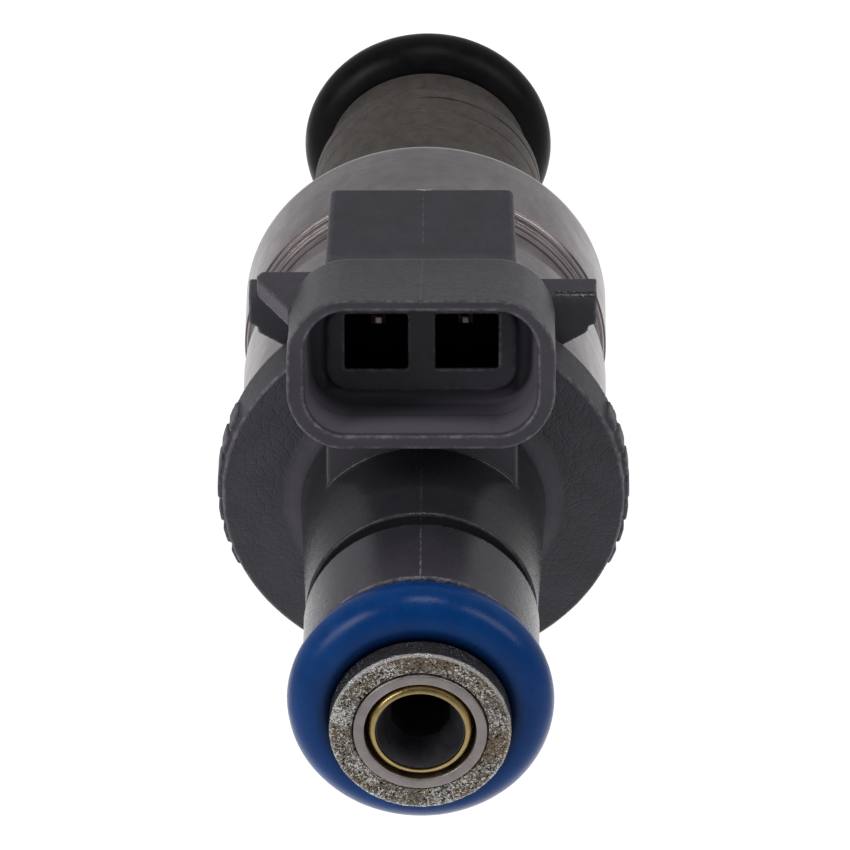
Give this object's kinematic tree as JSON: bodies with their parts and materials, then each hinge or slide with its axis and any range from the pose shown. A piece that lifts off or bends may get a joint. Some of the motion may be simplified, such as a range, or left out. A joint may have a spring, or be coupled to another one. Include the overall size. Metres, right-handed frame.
{
  "type": "fuel injector",
  "caption": "Electromagnetic top-feed fuel injector with O-ring seals at both ends, a leaning moulded connector and a needle that lifts off its seat to spray fuel.",
  "frame": {"origin": "on the injector's axis, at the centre of the lower O-ring, which seals in the intake manifold", "axes": "+Z along the injector's axis towards the fuel inlet, -Y towards the connector, +X to the side of the connector that has the latch ramp"},
  "size_m": [0.0232, 0.0284, 0.0692],
  "materials": {
    "nylon_grey": "fine-grained moulded glass-filled nylon, satin",
    "plastic_black": "smooth moulded plastic",
    "bobbin_nylon": "smooth moulded nylon",
    "rubber_black": "semi-matte fluorocarbon rubber",
    "rubber_blue": "semi-gloss fluorosilicone rubber",
    "case_steel": "satin plated steel with a circular grain",
    "phosphate_steel": "dull brown-grey phosphated steel, fine turning marks",
    "sintered_steel": "rough plated sintered steel with a glittery grain",
    "bright_steel": "drawn and ground steel",
    "spring_steel": "drawn spring wire",
    "ball_steel": "polished ball",
    "brass": "drawn brass",
    "terminal_alloy": "gold-flashed copper alloy blade",
    "copper": "enamelled copper wire",
    "filter_plastic": "smooth dark nylon",
    "filter_cloth": "fine woven strainer"
  },
  "bodies": {
    "injector": {"tip_cap": "plastic_black", "lower_o_ring": "rubber_black", "valve_body": "phosphate_steel", "valve_seat": "bright_steel", "director_plate": "bright_steel", "seat_retainer": "bright_steel", "ball_guide": "bright_steel", "adjusting_sleeve": "brass", "pole_core": "bright_steel", "magnetic_break": "bright_steel", "lower_case": "case_steel", "upper_case": "case_steel", "coil_bobbin": "bobbin_nylon", "coil_winding": "copper", "coil_leads": "copper", "flux_washer": "phosphate_steel", "overmold": "nylon_grey", "terminal_left": "terminal_alloy", "terminal_right": "terminal_alloy", "inlet_tube": "bright_steel", "upper_o_ring": "rubber_blue", "retainer_ring": "sintered_steel", "filter_collar": "brass", "filter_frame": "filter_plastic", "filter_mesh": "filter_cloth"},
    "valve": {"valve_ball": "ball_steel", "needle_tube": "bright_steel", "armature": "bright_steel", "return_spring": "spring_steel"}
  },
  "joints": [
    {"name": "valve_lift", "type": "slide", "parent": "injector", "child": "valve", "axis": [0, 0, 1], "range_m": [0, 0.0001], "stiffness_N_per_m": 2000, "deforming": ["return_spring"]}
  ]
}
